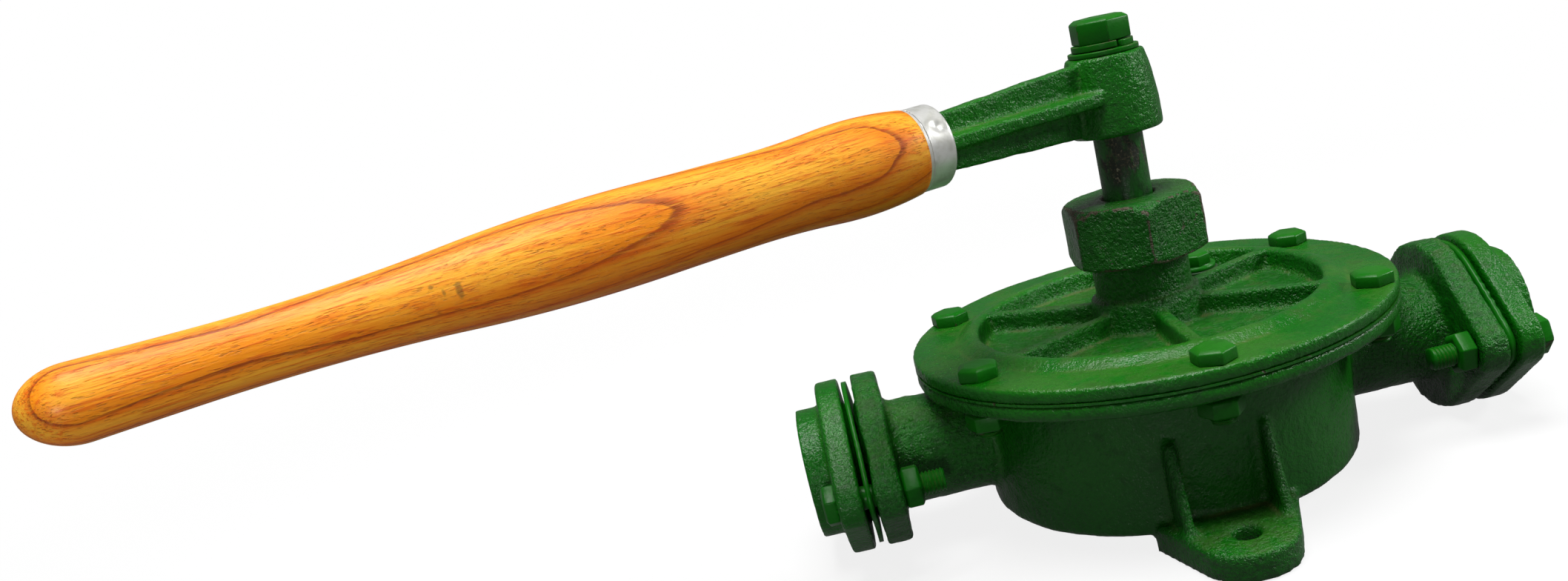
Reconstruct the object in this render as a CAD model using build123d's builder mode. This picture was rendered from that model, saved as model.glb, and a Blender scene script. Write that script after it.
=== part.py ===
from build123d import *
import os
from math import cos, radians, sin

os.makedirs("parts", exist_ok=True)

# A semi-rotary hand pump lying on its back. The origin is on the shaft's axis, at the soles
# of its two feet. +Z runs up the shaft, the ports lie along X, the feet along Y.

# Clearances
running_fit = 0.05  # radial, shaft in its bearings
thread_fit = 0.1  # radial, between screwed pieces
seat_fit = 0.1  # radial, between pieces that are pushed together
bolt_play = 0.5  # radial, bolts in their holes
end_play = 0.5  # axial, below the cover's spigot
handle_end_play = 0.3  # between the end of the arm and the wood
overlap = 1.0  # how far a rib or web runs into the wall that carries it

# Cast body
drum_radius = 66.0
drum_wall = 4.0  # round the recess for the cover's spigot
drum_depth = 53.9  # from the drum's back to the joint with the cover
drum_back_fillet = 2.5
sole_step = 4.4  # the soles stand this far behind the drum's back
bolt_offset = 11.1  # cover bolts outside the drum's wall
flange_edge = 7.9  # joint flange outside the bolt circle
body_flange_thickness = 5.4
register_depth = 4.0  # spigot of the cover inside the drum

# Shaft and stuffing box, from the inside out
shaft_radius = 8.5
shaft_bottom = 12.0
packing_width = 4.5
packing_height = 12.0
box_depth = 20.0
collar_wall = 4.0
collar_length = 24.0
hub_shoulder = 2.2
hub_height = 5.5  # above the cover's flange

# Gland nut
gland_across_flats = 44.3
gland_gap = 13.0  # from the hub to the nut
gland_height = 21.5
gland_roof = 4.5
gland_hole_play = 0.5
gland_chamfer = 3.0
gland_base_chamfer = 1.5

# Cover
gasket_thickness = 0.8
cover_thickness = 4.7
rim_height = 2.65  # raised band round the pockets, above the flange
pocket_wall = 1.3  # pockets inside the spigot's outside
rim_top_width = 3.5
rim_slope_width = 4.5
pocket_depth = 7.6
rib_count = 6
rib_thickness = 5.0
rib_drop = 0.3  # tops of the ribs below the rim
draft = 1.0  # how far the pocket walls lean
pocket_fillet = 1.5

# Cover bolts
cover_bolt_count = 6
cover_bolt_start = 30.0
bolt_radius = 4.0
bolt_across_flats = 13.0
bolt_head_height = 5.3
nut_height = 6.5
cover_bolt_tail = 2.5  # thread beyond the nut

# Ports
port_height = 31.6
neck_radius = 18.8
neck_fillet = 3.0  # where the neck meets its flange
port_bore = 12.1  # threaded bore of the counter flanges
neck_bore = 12.6
port_bore_depth = 66.0
neck_length = 33.2  # from the drum's wall to the back of the neck's flange
port_flange_thickness = 9.2
port_flange_reach = 31.0  # half height
port_flange_fillet = 1.2
port_ear_radius = 9.5
port_bolt_offset = 35.5
raised_face_radius = 21.0
raised_face = 1.3
port_gasket_thickness = 1.8
port_gasket_inset = 1.4
counter_thickness = 8.4
boss_radius = 23.0
boss_length = 8.5
port_bolt_tail = 8.0

# Feet
foot_hole_offset = 16.4  # outside the drum's wall
foot_hole_radius = 4.5
foot_tip_radius = 16.5
foot_thickness = 9.4
foot_root_width = 48.0
foot_root_depth = 4.0  # root of the foot inside the drum's wall
gusset_offset = 15.8
gusset_thickness = 3.6
gusset_height = 27.0
gusset_reach = 12.5
gusset_toe = 1.0  # height of the web at its outer end
gusset_top_reach = 1.0

# Lever
lever_angle = 208.0
lever_rise = 62.0  # underside of the boss above the cover's flange
lever_boss_height = 26.5
boss_bottom_radius = 16.0
boss_top_radius = 13.2
boss_mid_radius = 15.5
boss_edge_fillet = 1.0
seat_step = 0.5  # turned seat of the lever, smaller than the shaft
seat_drop = 1.5  # end of the shaft below the top of the boss
key_side = 4.0
key_length = 18.0
arm_inset = 1.25  # upright web short of the boss's top and bottom
arm_height_end = 17.5
arm_web = 5.0
arm_flange_boss = 21.0
arm_flange_end = 16.0
arm_flange_thickness = 4.5
arm_fillet = 1.6
arm_end = 78.0
tang_radius = 4.5
tang_length = 72.0

# Lever bolt and washers
lever_bolt_radius = 6.0
lever_bolt_across_flats = 18.0
lever_bolt_turn = 2.5
lever_bolt_head = 8.0
lever_bolt_length = 26.0
washer_radius = 12.0
washer_thickness = 1.6
spring_washer_radius = 10.5
spring_washer_thickness = 2.4

# Handle
ferrule_overlap = 4.0  # the ferrule's lip in front of the arm's end
ferrule_length = 10.0
ferrule_radius = 13.0
ferrule_wall = 1.2
ferrule_lip = 2.4
tang_play = 0.1
handle_length = 236.0
handle_start_slope = 0.15
# distance from the end of the ferrule and radius, along the thick half of the handle
handle_front = [(0.0, 13.4), (30.0, 14.2), (56.0, 13.0), (84.0, 13.35)]
# distance from the tip and radius, along the thin half up to its round end
handle_rear = [(96.0, 11.2), (36.0, 8.85), (12.0, 9.4)]

# Priming plug
plug_edge = 13.7  # axis of the plug inside the pockets' outer wall
plug_angle = 52.0
plug_boss_edge = 0.9  # boss outside the plug's washer
plug_boss_height = 3.0
plug_thread_radius = 5.0
plug_collar_radius = 7.8
plug_collar_height = 1.6
plug_across_flats = 11.0
plug_head_height = 4.5
plug_washer_radius = 8.6
plug_washer_thickness = 1.2
plug_thread_length = 6.0

# Sizes worked out from those above
register_radius = drum_radius - drum_wall
cover_bolt_circle = drum_radius + bolt_offset
joint_radius = cover_bolt_circle + flange_edge
rim_inner_radius = register_radius - pocket_wall
rim_outer_radius = rim_inner_radius + rim_top_width
box_radius = shaft_radius + packing_width
collar_radius = box_radius + collar_wall
hub_radius = collar_radius + hub_shoulder
drum_back = sole_step
joint_height = drum_back + drum_depth
flange_underside = joint_height - body_flange_thickness
cover_underside = joint_height + gasket_thickness
cover_top = cover_underside + cover_thickness
spigot_end = joint_height - register_depth
rim_top = cover_top + rim_height
pocket_floor = rim_top - pocket_depth
hub_top = cover_top + hub_height
collar_top = hub_top + collar_length
box_floor = collar_top - box_depth
gland_bottom = hub_top + gland_gap
gland_top = gland_bottom + gland_height
neck_face = drum_radius + neck_length
neck_end = neck_face + port_flange_thickness
port_joint = neck_end + raised_face
seat_radius = shaft_radius - seat_step
boss_bottom = cover_top + lever_rise
boss_top = boss_bottom + lever_boss_height
shaft_top = boss_top - seat_drop
key_start = boss_bottom + (lever_boss_height - key_length) / 2
arm_axis_height = boss_bottom + lever_boss_height / 2
arm_height_boss = lever_boss_height - 2 * arm_inset
ferrule_start = arm_end - ferrule_overlap
ferrule_end = ferrule_start + ferrule_length
arm_direction = Vector(cos(radians(lever_angle)), sin(radians(lever_angle)), 0)
arm_origin = Vector(0, 0, arm_axis_height)
# side view of the lever: x along the arm, y up
arm_side = Plane(arm_origin, x_dir=arm_direction, z_dir=arm_direction.cross(Vector(0, 0, 1)))
# top view of the lever: x along the arm
arm_top = Plane(arm_origin, x_dir=arm_direction, z_dir=(0, 0, 1))
# cross sections of the handle
arm_section = Plane(arm_origin, x_dir=(0, 0, 1), z_dir=arm_direction)
arm_axis = Axis(arm_origin, arm_direction)
cover_bolt_spots = PolarLocations(cover_bolt_circle, cover_bolt_count, cover_bolt_start)
plug_spot = PolarLocations(rim_inner_radius - plug_edge, 1, plug_angle)
on_base = (Align.CENTER, Align.CENTER, Align.MIN)


def port_plane(side, distance):
    """Plane across a port's axis, x along Y, looking outwards."""
    return Plane((side * distance, 0, port_height), x_dir=(0, 1, 0), z_dir=(side, 0, 0))


def oval(inset):
    """Two-eared outline of the port flanges, in the current sketch."""
    Circle(port_flange_reach - inset)
    with Locations((port_bolt_offset, 0), (-port_bolt_offset, 0)):
        Circle(port_ear_radius - inset)
    make_hull()


def around_neck(edge):
    """Whether an edge is a circle of the neck's size or of its fillet's."""
    if edge.geom_type != GeomType.CIRCLE:
        return False
    return min(abs(edge.radius - neck_radius), abs(edge.radius - neck_radius - neck_fillet)) < 0.01


def key_section():
    """Section of the lever's key, in the current sketch."""
    with Locations(Location((0, 0, 0), (0, 0, lever_angle))):
        with Locations((seat_radius, 0)):
            Rectangle(key_side, key_side)


def save(piece, name):
    piece.part.label = name
    export_step(piece.part, f"parts/{name}.step")


# Body: drum, round flange, two necks with flanges, two feet
with BuildPart() as body:
    with Locations((0, 0, drum_back)):
        Cylinder(drum_radius, drum_depth, align=on_base)
    fillet(body.edges().group_by(Axis.Z)[0], drum_back_fillet)
    for side in (1, -1):
        with BuildSketch(port_plane(side, 0)):
            Circle(neck_radius)
        extrude(amount=neck_end)
        with BuildSketch(port_plane(side, neck_face)):
            oval(0)
        extrude(amount=port_flange_thickness)
        at_flange = body.edges().filter_by_position(Axis.X, side * neck_face, side * neck_face)
        neck_circle = at_flange.filter_by(GeomType.CIRCLE).filter_by(around_neck)
        fillet(neck_circle, neck_fillet)
        at_flange = body.edges().filter_by_position(Axis.X, side * neck_face, side * neck_face)
        fillet(at_flange.filter_by(around_neck, reverse=True), port_flange_fillet)
        with BuildSketch(port_plane(side, neck_end)):
            Circle(raised_face_radius)
        extrude(amount=raised_face)
    with Locations((0, 0, flange_underside)):
        Cylinder(joint_radius, body_flange_thickness, align=on_base)
    for side in (1, -1):
        with BuildSketch():
            with Locations((0, side * (drum_radius + foot_hole_offset))):
                Circle(foot_tip_radius)
            with Locations((0, side * (drum_radius - foot_root_depth))):
                Rectangle(foot_root_width, overlap)
            make_hull()
        extrude(amount=foot_thickness)
        for across in (1, -1):
            web_plane = Plane((across * gusset_offset, 0, 0), x_dir=(0, side, 0), z_dir=(side, 0, 0))
            inside = drum_radius - foot_root_depth
            with BuildSketch(web_plane):
                with BuildLine():
                    Polyline(
                        (inside, foot_thickness - overlap),
                        (drum_radius + gusset_reach, foot_thickness - overlap),
                        (drum_radius + gusset_reach, foot_thickness + gusset_toe),
                        (drum_radius + gusset_top_reach, foot_thickness + gusset_height),
                        (inside, foot_thickness + gusset_height),
                        close=True,
                    )
                make_face()
            extrude(amount=gusset_thickness / 2, both=True)
        with Locations((0, side * (drum_radius + foot_hole_offset), 0)):
            Cylinder(foot_hole_radius, foot_thickness, align=on_base, mode=Mode.SUBTRACT)
    # recess for the cover's spigot
    recess_depth = register_depth + end_play
    with Locations((0, 0, joint_height - recess_depth)):
        Cylinder(register_radius + seat_fit, recess_depth, align=on_base, mode=Mode.SUBTRACT)
    # bearing of the shaft
    with Locations((0, 0, shaft_bottom - end_play)):
        Cylinder(shaft_radius + running_fit, joint_height, align=on_base, mode=Mode.SUBTRACT)
    with BuildSketch(Plane.XY.offset(flange_underside)):
        with cover_bolt_spots:
            Circle(bolt_radius + bolt_play)
    extrude(amount=body_flange_thickness, mode=Mode.SUBTRACT)
    for side in (1, -1):
        with BuildSketch(port_plane(side, port_joint)):
            Circle(neck_bore)
        extrude(amount=-port_bore_depth, mode=Mode.SUBTRACT)
        with BuildSketch(port_plane(side, port_joint)):
            with Locations((port_bolt_offset, 0), (-port_bolt_offset, 0)):
                Circle(bolt_radius + bolt_play)
        extrude(amount=-(port_flange_thickness + raised_face), mode=Mode.SUBTRACT)
save(body, "body")

# Gasket between the body and the cover
with BuildPart() as cover_gasket:
    with BuildSketch(Plane.XY.offset(joint_height)):
        Circle(joint_radius)
        Circle(register_radius + seat_fit, mode=Mode.SUBTRACT)
        with cover_bolt_spots:
            Circle(bolt_radius + bolt_play, mode=Mode.SUBTRACT)
    extrude(amount=gasket_thickness)
save(cover_gasket, "cover_gasket")

# Cover: flange, raised rim, six pockets between ribs, hub with a threaded collar
with BuildPart() as cover:
    with BuildSketch(Plane.XZ):
        with BuildLine():
            Polyline(
                (shaft_radius + running_fit, spigot_end),
                (register_radius, spigot_end),
                (register_radius, cover_underside),
                (joint_radius, cover_underside),
                (joint_radius, cover_top),
                (rim_outer_radius + rim_slope_width, cover_top),
                (rim_outer_radius, rim_top),
                (rim_inner_radius, rim_top),
                (rim_inner_radius - draft, pocket_floor),
                (hub_radius + draft, pocket_floor),
                (hub_radius, hub_top),
                (collar_radius, hub_top),
                (collar_radius, collar_top),
                (box_radius + seat_fit, collar_top),
                (box_radius + seat_fit, box_floor),
                (shaft_radius + running_fit, box_floor),
                close=True,
            )
        make_face()
    revolve(axis=Axis.Z)
    rib_length = rim_inner_radius - hub_radius + 2 * overlap
    rib_height = pocket_depth - rib_drop + overlap
    with PolarLocations((rim_inner_radius + hub_radius) / 2, rib_count, cover_bolt_start):
        with Locations((0, 0, pocket_floor - overlap)):
            Box(rib_length, rib_thickness, rib_height, align=on_base)
    fillet(cover.edges().filter_by_position(Axis.Z, pocket_floor, pocket_floor), pocket_fillet)
    with plug_spot:
        with Locations((0, 0, pocket_floor)):
            Cylinder(plug_washer_radius + plug_boss_edge, plug_boss_height, align=on_base)
        with Locations((0, 0, spigot_end)):
            Cylinder(
                plug_thread_radius + thread_fit,
                pocket_floor + plug_boss_height - spigot_end,
                align=on_base,
                mode=Mode.SUBTRACT,
            )
    with BuildSketch(Plane.XY.offset(cover_underside)):
        with cover_bolt_spots:
            Circle(bolt_radius + bolt_play)
    extrude(amount=cover_thickness, mode=Mode.SUBTRACT)
save(cover, "cover")

# Cover bolts with hexagon heads on the cover, and their nuts under the body's flange
bolt_length = cover_top - flange_underside + nut_height + cover_bolt_tail
for number, spot in enumerate(cover_bolt_spots, start=1):
    with BuildPart() as cover_bolt:
        with BuildSketch(Plane(spot).offset(cover_top)):
            RegularPolygon(bolt_across_flats / 2, 6, major_radius=False)
        extrude(amount=bolt_head_height)
        with BuildSketch(Plane(spot).offset(cover_top)):
            Circle(bolt_radius)
        extrude(amount=-bolt_length)
    save(cover_bolt, f"cover_bolt_{number}")
    with BuildPart() as cover_nut:
        with BuildSketch(Plane(spot).offset(flange_underside)):
            RegularPolygon(bolt_across_flats / 2, 6, major_radius=False)
            Circle(bolt_radius + thread_fit, mode=Mode.SUBTRACT)
        extrude(amount=-nut_height)
    save(cover_nut, f"cover_nut_{number}")

# Stuffing box: packing, follower and gland nut
with BuildPart() as packing:
    with BuildSketch(Plane.XY.offset(box_floor)):
        Circle(box_radius)
        Circle(shaft_radius + running_fit, mode=Mode.SUBTRACT)
    extrude(amount=packing_height)
save(packing, "packing")

with BuildPart() as gland_follower:
    with BuildSketch(Plane.XY.offset(box_floor + packing_height)):
        Circle(box_radius)
    extrude(amount=box_depth - packing_height)
    with BuildSketch(Plane.XY.offset(collar_top)):
        Circle(collar_radius)
    extrude(amount=gland_top - gland_roof - collar_top)
    with BuildSketch(Plane.XY.offset(box_floor + packing_height)):
        Circle(shaft_radius + running_fit)
    extrude(amount=gland_top, mode=Mode.SUBTRACT)
save(gland_follower, "gland_follower")

with BuildPart() as gland_nut:
    with BuildSketch(Plane.XY.offset(gland_bottom)):
        RegularPolygon(gland_across_flats / 2, 6, major_radius=False)
    extrude(amount=gland_height)
    # turned crown and foot that round the corners
    flat_radius = gland_across_flats / 2
    corner_radius = gland_across_flats / 3**0.5
    with BuildSketch(Plane.XZ):
        with BuildLine():
            Polyline(
                (0, gland_bottom),
                (flat_radius, gland_bottom),
                (corner_radius, gland_bottom + gland_base_chamfer),
                (corner_radius, gland_top - gland_chamfer),
                (flat_radius, gland_top),
                (0, gland_top),
                close=True,
            )
        make_face()
    revolve(axis=Axis.Z, mode=Mode.INTERSECT)
    with BuildSketch(Plane.XY.offset(gland_bottom)):
        Circle(collar_radius + thread_fit)
    extrude(amount=gland_height - gland_roof, mode=Mode.SUBTRACT)
    with BuildSketch(Plane.XY.offset(gland_bottom)):
        Circle(shaft_radius + gland_hole_play)
    extrude(amount=gland_height, mode=Mode.SUBTRACT)
save(gland_nut, "gland_nut")

# Shaft with a turned seat, a keyway and a threaded end
head_seat = boss_top + washer_thickness + spring_washer_thickness
with BuildPart() as shaft:
    with Locations((0, 0, shaft_bottom)):
        Cylinder(shaft_radius, boss_bottom - shaft_bottom, align=on_base)
    with Locations((0, 0, boss_bottom)):
        Cylinder(seat_radius, shaft_top - boss_bottom, align=on_base)
    with BuildSketch(Plane.XY.offset(key_start)):
        key_section()
    extrude(amount=key_length, mode=Mode.SUBTRACT)
    with Locations((0, 0, head_seat - lever_bolt_length)):
        Cylinder(lever_bolt_radius + thread_fit, lever_bolt_length, align=on_base, mode=Mode.SUBTRACT)
save(shaft, "shaft")

with BuildPart() as lever_key:
    with BuildSketch(Plane.XY.offset(key_start)):
        key_section()
    extrude(amount=key_length)
save(lever_key, "lever_key")

# Lever: barrel-shaped boss, cross-shaped arm, round tang
with BuildPart() as lever:
    with BuildSketch(arm_side):
        with BuildLine():
            Polyline(
                (seat_radius + overlap, -arm_height_boss / 2),
                (boss_mid_radius, -arm_height_boss / 2),
                (arm_end, -arm_height_end / 2),
                (arm_end, arm_height_end / 2),
                (boss_mid_radius, arm_height_boss / 2),
                (seat_radius + overlap, arm_height_boss / 2),
                close=True,
            )
        make_face()
    extrude(amount=arm_web / 2, both=True)
    with BuildSketch(arm_top):
        with BuildLine():
            Polyline(
                (seat_radius + overlap, -arm_flange_boss / 2),
                (boss_mid_radius, -arm_flange_boss / 2),
                (arm_end, -arm_flange_end / 2),
                (arm_end, arm_flange_end / 2),
                (boss_mid_radius, arm_flange_boss / 2),
                (seat_radius + overlap, arm_flange_boss / 2),
                close=True,
            )
        make_face()
    extrude(amount=arm_flange_thickness / 2, both=True)
    inner_corners = lever.edges().sort_by(lambda e: (e @ 0.5 - arm_origin).cross(arm_direction).length)
    fillet(inner_corners[:4], arm_fillet)
    with BuildSketch(Plane.XZ):
        with BuildLine():
            Line((0, boss_bottom), (boss_bottom_radius, boss_bottom))
            ThreePointArc(
                (boss_bottom_radius, boss_bottom),
                (boss_mid_radius, arm_axis_height),
                (boss_top_radius, boss_top),
            )
            Line((boss_top_radius, boss_top), (0, boss_top))
            Line((0, boss_top), (0, boss_bottom))
        make_face()
    revolve(axis=Axis.Z)
    fillet(lever.edges().group_by(Axis.Z)[-1], boss_edge_fillet)
    fillet(lever.edges().group_by(Axis.Z)[0], boss_edge_fillet)
    with BuildSketch(arm_section.offset(arm_end)):
        Circle(tang_radius)
    extrude(amount=tang_length)
    with Locations((0, 0, boss_bottom)):
        Cylinder(seat_radius + seat_fit, lever_boss_height, align=on_base, mode=Mode.SUBTRACT)
    with BuildSketch(Plane.XY.offset(key_start)):
        key_section()
    extrude(amount=key_length, mode=Mode.SUBTRACT)
save(lever, "lever")

with BuildPart() as lever_washer:
    with BuildSketch(Plane.XY.offset(boss_top)):
        Circle(washer_radius)
        Circle(lever_bolt_radius + bolt_play, mode=Mode.SUBTRACT)
    extrude(amount=washer_thickness)
save(lever_washer, "lever_washer")

with BuildPart() as lever_spring_washer:
    with BuildSketch(Plane.XY.offset(boss_top + washer_thickness)):
        Circle(spring_washer_radius)
        Circle(lever_bolt_radius + seat_fit, mode=Mode.SUBTRACT)
    extrude(amount=spring_washer_thickness)
save(lever_spring_washer, "lever_spring_washer")

with BuildPart() as lever_bolt:
    with BuildSketch(Plane.XY.offset(head_seat)):
        RegularPolygon(lever_bolt_across_flats / 2, 6, major_radius=False, rotation=lever_bolt_turn)
    extrude(amount=lever_bolt_head)
    with BuildSketch(Plane.XY.offset(head_seat)):
        Circle(lever_bolt_radius)
    extrude(amount=-lever_bolt_length)
save(lever_bolt, "lever_bolt")

# Ferrule and turned wooden handle
with BuildPart() as ferrule:
    with BuildSketch(arm_side):
        with BuildLine():
            Polyline(
                (ferrule_start, ferrule_radius - ferrule_lip),
                (ferrule_start, ferrule_radius),
                (ferrule_end, ferrule_radius),
                (ferrule_end, ferrule_radius - ferrule_wall),
                (ferrule_start + ferrule_wall, ferrule_radius - ferrule_wall),
                (ferrule_start + ferrule_wall, ferrule_radius - ferrule_lip),
                close=True,
            )
        make_face()
    revolve(axis=arm_axis)
save(ferrule, "ferrule")

with BuildPart() as handle:
    spigot_radius = ferrule_radius - ferrule_wall - seat_fit
    spigot_start = arm_end + handle_end_play
    handle_tip = ferrule_end + handle_length
    turned = [(ferrule_end + distance, radius) for distance, radius in handle_front]
    turned += [(handle_tip - distance, radius) for distance, radius in handle_rear]
    with BuildSketch(arm_side):
        with BuildLine():
            Line((spigot_start, 0), (spigot_start, spigot_radius))
            Line((spigot_start, spigot_radius), (ferrule_end, spigot_radius))
            Line((ferrule_end, spigot_radius), turned[0])
            slope = Vector(1, handle_start_slope)
            for start, end in zip(turned, turned[1:]):
                slope = TangentArc(start, end, tangent=slope) % 1
            EllipticalCenterArc(
                (turned[-1][0], 0),
                x_radius=handle_tip - turned[-1][0],
                y_radius=turned[-1][1],
                start_angle=0,
                arc_size=90,
            )
            Line((handle_tip, 0), (spigot_start, 0))
        make_face()
    revolve(axis=arm_axis)
    with BuildSketch(arm_section.offset(arm_end)):
        Circle(tang_radius + tang_play)
    extrude(amount=tang_length + handle_end_play, mode=Mode.SUBTRACT)
save(handle, "handle")

# Counter flanges with their gaskets, bolts and nuts
counter_joint = port_joint + port_gasket_thickness
counter_face = counter_joint + raised_face
counter_back = counter_face + counter_thickness
port_bolt_length = counter_back - neck_face + nut_height + port_bolt_tail
port_bolt_number = 0
for side, name in ((1, "outlet"), (-1, "inlet")):
    with BuildPart() as port_gasket:
        with BuildSketch(port_plane(side, port_joint)):
            oval(port_gasket_inset)
            Circle(neck_bore, mode=Mode.SUBTRACT)
            with Locations((port_bolt_offset, 0), (-port_bolt_offset, 0)):
                Circle(bolt_radius + bolt_play, mode=Mode.SUBTRACT)
        extrude(amount=port_gasket_thickness)
    save(port_gasket, f"{name}_gasket")
    with BuildPart() as counter_flange:
        with BuildSketch(port_plane(side, counter_face)):
            oval(0)
        extrude(amount=counter_thickness)
        fillet(counter_flange.faces().sort_by(Axis.X)[-1 if side > 0 else 0].edges(), port_flange_fillet)
        with BuildSketch(port_plane(side, counter_joint)):
            Circle(raised_face_radius)
        extrude(amount=raised_face)
        with BuildSketch(port_plane(side, counter_back)):
            Circle(boss_radius)
        extrude(amount=boss_length)
        with BuildSketch(port_plane(side, counter_joint)):
            Circle(port_bore)
        extrude(amount=raised_face + counter_thickness + boss_length, mode=Mode.SUBTRACT)
        with BuildSketch(port_plane(side, counter_joint)):
            with Locations((port_bolt_offset, 0), (-port_bolt_offset, 0)):
                Circle(bolt_radius + bolt_play)
        extrude(amount=raised_face + counter_thickness, mode=Mode.SUBTRACT)
    save(counter_flange, f"{name}_flange")
    for across in (1, -1):
        port_bolt_number += 1
        spot = (across * port_bolt_offset, 0)
        with BuildPart() as port_bolt:
            with BuildSketch(port_plane(side, counter_back)):
                with Locations(spot):
                    RegularPolygon(bolt_across_flats / 2, 6, major_radius=False)
            extrude(amount=bolt_head_height)
            with BuildSketch(port_plane(side, counter_back)):
                with Locations(spot):
                    Circle(bolt_radius)
            extrude(amount=-port_bolt_length)
        save(port_bolt, f"port_bolt_{port_bolt_number}")
        with BuildPart() as port_nut:
            with BuildSketch(port_plane(side, neck_face)):
                with Locations(spot):
                    RegularPolygon(bolt_across_flats / 2, 6, major_radius=False)
                    Circle(bolt_radius + thread_fit, mode=Mode.SUBTRACT)
            extrude(amount=-nut_height)
        save(port_nut, f"port_nut_{port_bolt_number}")

# Priming plug and its washer in the rear pocket
plug_seat = pocket_floor + plug_boss_height
plug_base = plug_seat + plug_washer_thickness
with BuildPart() as plug_washer:
    with BuildSketch(Plane.XY.offset(plug_seat)):
        with plug_spot:
            Circle(plug_washer_radius)
            Circle(plug_thread_radius + seat_fit, mode=Mode.SUBTRACT)
    extrude(amount=plug_washer_thickness)
save(plug_washer, "plug_washer")

with BuildPart() as priming_plug:
    with BuildSketch(Plane.XY.offset(plug_base)):
        with plug_spot:
            Circle(plug_collar_radius)
    extrude(amount=plug_collar_height)
    with BuildSketch(Plane.XY.offset(plug_base + plug_collar_height)):
        with plug_spot:
            RegularPolygon(plug_across_flats / 2, 6, major_radius=False)
    extrude(amount=plug_head_height)
    with BuildSketch(Plane.XY.offset(plug_base)):
        with plug_spot:
            Circle(plug_thread_radius)
    extrude(amount=-plug_thread_length)
save(priming_plug, "priming_plug")
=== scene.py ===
import math

import bmesh
import bpy
import numpy as np
from mathutils import Matrix, Vector, noise


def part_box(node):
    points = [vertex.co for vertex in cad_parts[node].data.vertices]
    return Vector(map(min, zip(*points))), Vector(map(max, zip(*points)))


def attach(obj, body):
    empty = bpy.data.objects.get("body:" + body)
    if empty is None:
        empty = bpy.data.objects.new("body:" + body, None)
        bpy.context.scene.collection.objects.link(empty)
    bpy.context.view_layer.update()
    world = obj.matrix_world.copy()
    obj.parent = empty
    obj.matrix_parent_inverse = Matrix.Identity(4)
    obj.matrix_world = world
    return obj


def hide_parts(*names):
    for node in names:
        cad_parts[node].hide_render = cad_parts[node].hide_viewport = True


# A semi-rotary hand pump: green painted castings, a bright ferrule and a varnished handle.
# Everything is in metres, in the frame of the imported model.

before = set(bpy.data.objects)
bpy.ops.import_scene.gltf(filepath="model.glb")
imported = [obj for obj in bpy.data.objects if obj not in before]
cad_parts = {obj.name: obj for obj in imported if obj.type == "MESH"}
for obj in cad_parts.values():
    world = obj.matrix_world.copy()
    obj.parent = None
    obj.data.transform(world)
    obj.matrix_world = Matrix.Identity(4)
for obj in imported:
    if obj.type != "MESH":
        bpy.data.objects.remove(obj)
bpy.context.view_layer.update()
print("frame loaded with", len(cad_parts), "nodes")

mm = 0.001


class Wire:
    # one socket, which can stand in sums and products
    def __init__(self, sheet, socket):
        self.sheet = sheet
        self.socket = socket

    def maths(self, operation, first, second=0.0):
        return self.sheet.node("ShaderNodeMath", {"operation": operation}, {0: first, 1: second})

    def __add__(self, other):
        return self.maths("ADD", self, other)

    def __radd__(self, other):
        return self.maths("ADD", other, self)

    def __sub__(self, other):
        return self.maths("SUBTRACT", self, other)

    def __mul__(self, other):
        return self.maths("MULTIPLY", self, other)

    def __rmul__(self, other):
        return self.maths("MULTIPLY", other, self)

    def __truediv__(self, other):
        return self.maths("DIVIDE", self, other)

    def least(self, other):
        return self.maths("MINIMUM", self, other)

    def most(self, other):
        return self.maths("MAXIMUM", self, other)


class NodeSheet:
    # a tree of nodes under construction
    def node(self, kind, settings=None, sockets=None, output=0):
        made = self.tree.nodes.new(kind)
        for name, value in (settings or {}).items():
            if name == "stops":
                self.setStops(made.color_ramp, value)
            else:
                setattr(made, name, value)
        for name, value in (sockets or {}).items():
            if isinstance(value, Wire):
                self.tree.links.new(value.socket, made.inputs[name])
            else:
                made.inputs[name].default_value = value
        if output is None:
            return made
        return Wire(self, made.outputs[output])

    def setStops(self, ramp, stops):
        ramp.interpolation = "CARDINAL"
        while len(ramp.elements) < len(stops):
            ramp.elements.new(1.0)
        for element, (position, colour) in zip(ramp.elements, stops):
            element.position = position
            element.color = (*colour, 1.0)


class Finish(NodeSheet):
    # a material: everything in it is measured on Object coordinates
    def __init__(self, name):
        self.material = bpy.data.materials.new(name)
        self.material.use_nodes = True
        self.tree = self.material.node_tree
        self.tree.nodes.clear()
        self.place = self.node("ShaderNodeTexCoord", output="Object")

    def grain(self, scale, detail=2.0, roughness=0.5, place=None, stretch=None):
        place = place or self.place
        if stretch:
            place = self.node("ShaderNodeVectorMath", {"operation": "MULTIPLY"}, {0: place, 1: stretch})
        return self.node("ShaderNodeTexNoise", {}, {
            "Vector": place, "Scale": scale, "Detail": detail, "Roughness": roughness})

    def smooth(self, value, low, high):
        return self.node("ShaderNodeMapRange", {"interpolation_type": "SMOOTHSTEP"}, {
            0: value, 1: low, 2: high, 3: 0.0, 4: 1.0})

    def tint(self, share, first, second):
        first, second = (c if isinstance(c, Wire) else (*c, 1.0) for c in (first, second))
        return self.node("ShaderNodeMix", {"data_type": "RGBA"}, {0: share, 6: first, 7: second}, 2)

    def split(self, vector):
        return [self.node("ShaderNodeSeparateXYZ", {}, {0: vector}, axis) for axis in range(3)]

    def bump(self, height, distance, strength=1.0):
        return self.node("ShaderNodeBump", {}, {
            "Height": height, "Distance": distance, "Strength": strength})

    def attribute(self, name):
        return self.node("ShaderNodeAttribute", {"attribute_name": name}, output="Fac")

    def surface(self, sockets):
        shader = self.node("ShaderNodeBsdfPrincipled", {}, sockets)
        self.node("ShaderNodeOutputMaterial", {}, {"Surface": shader}, None)
        return self.material


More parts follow.
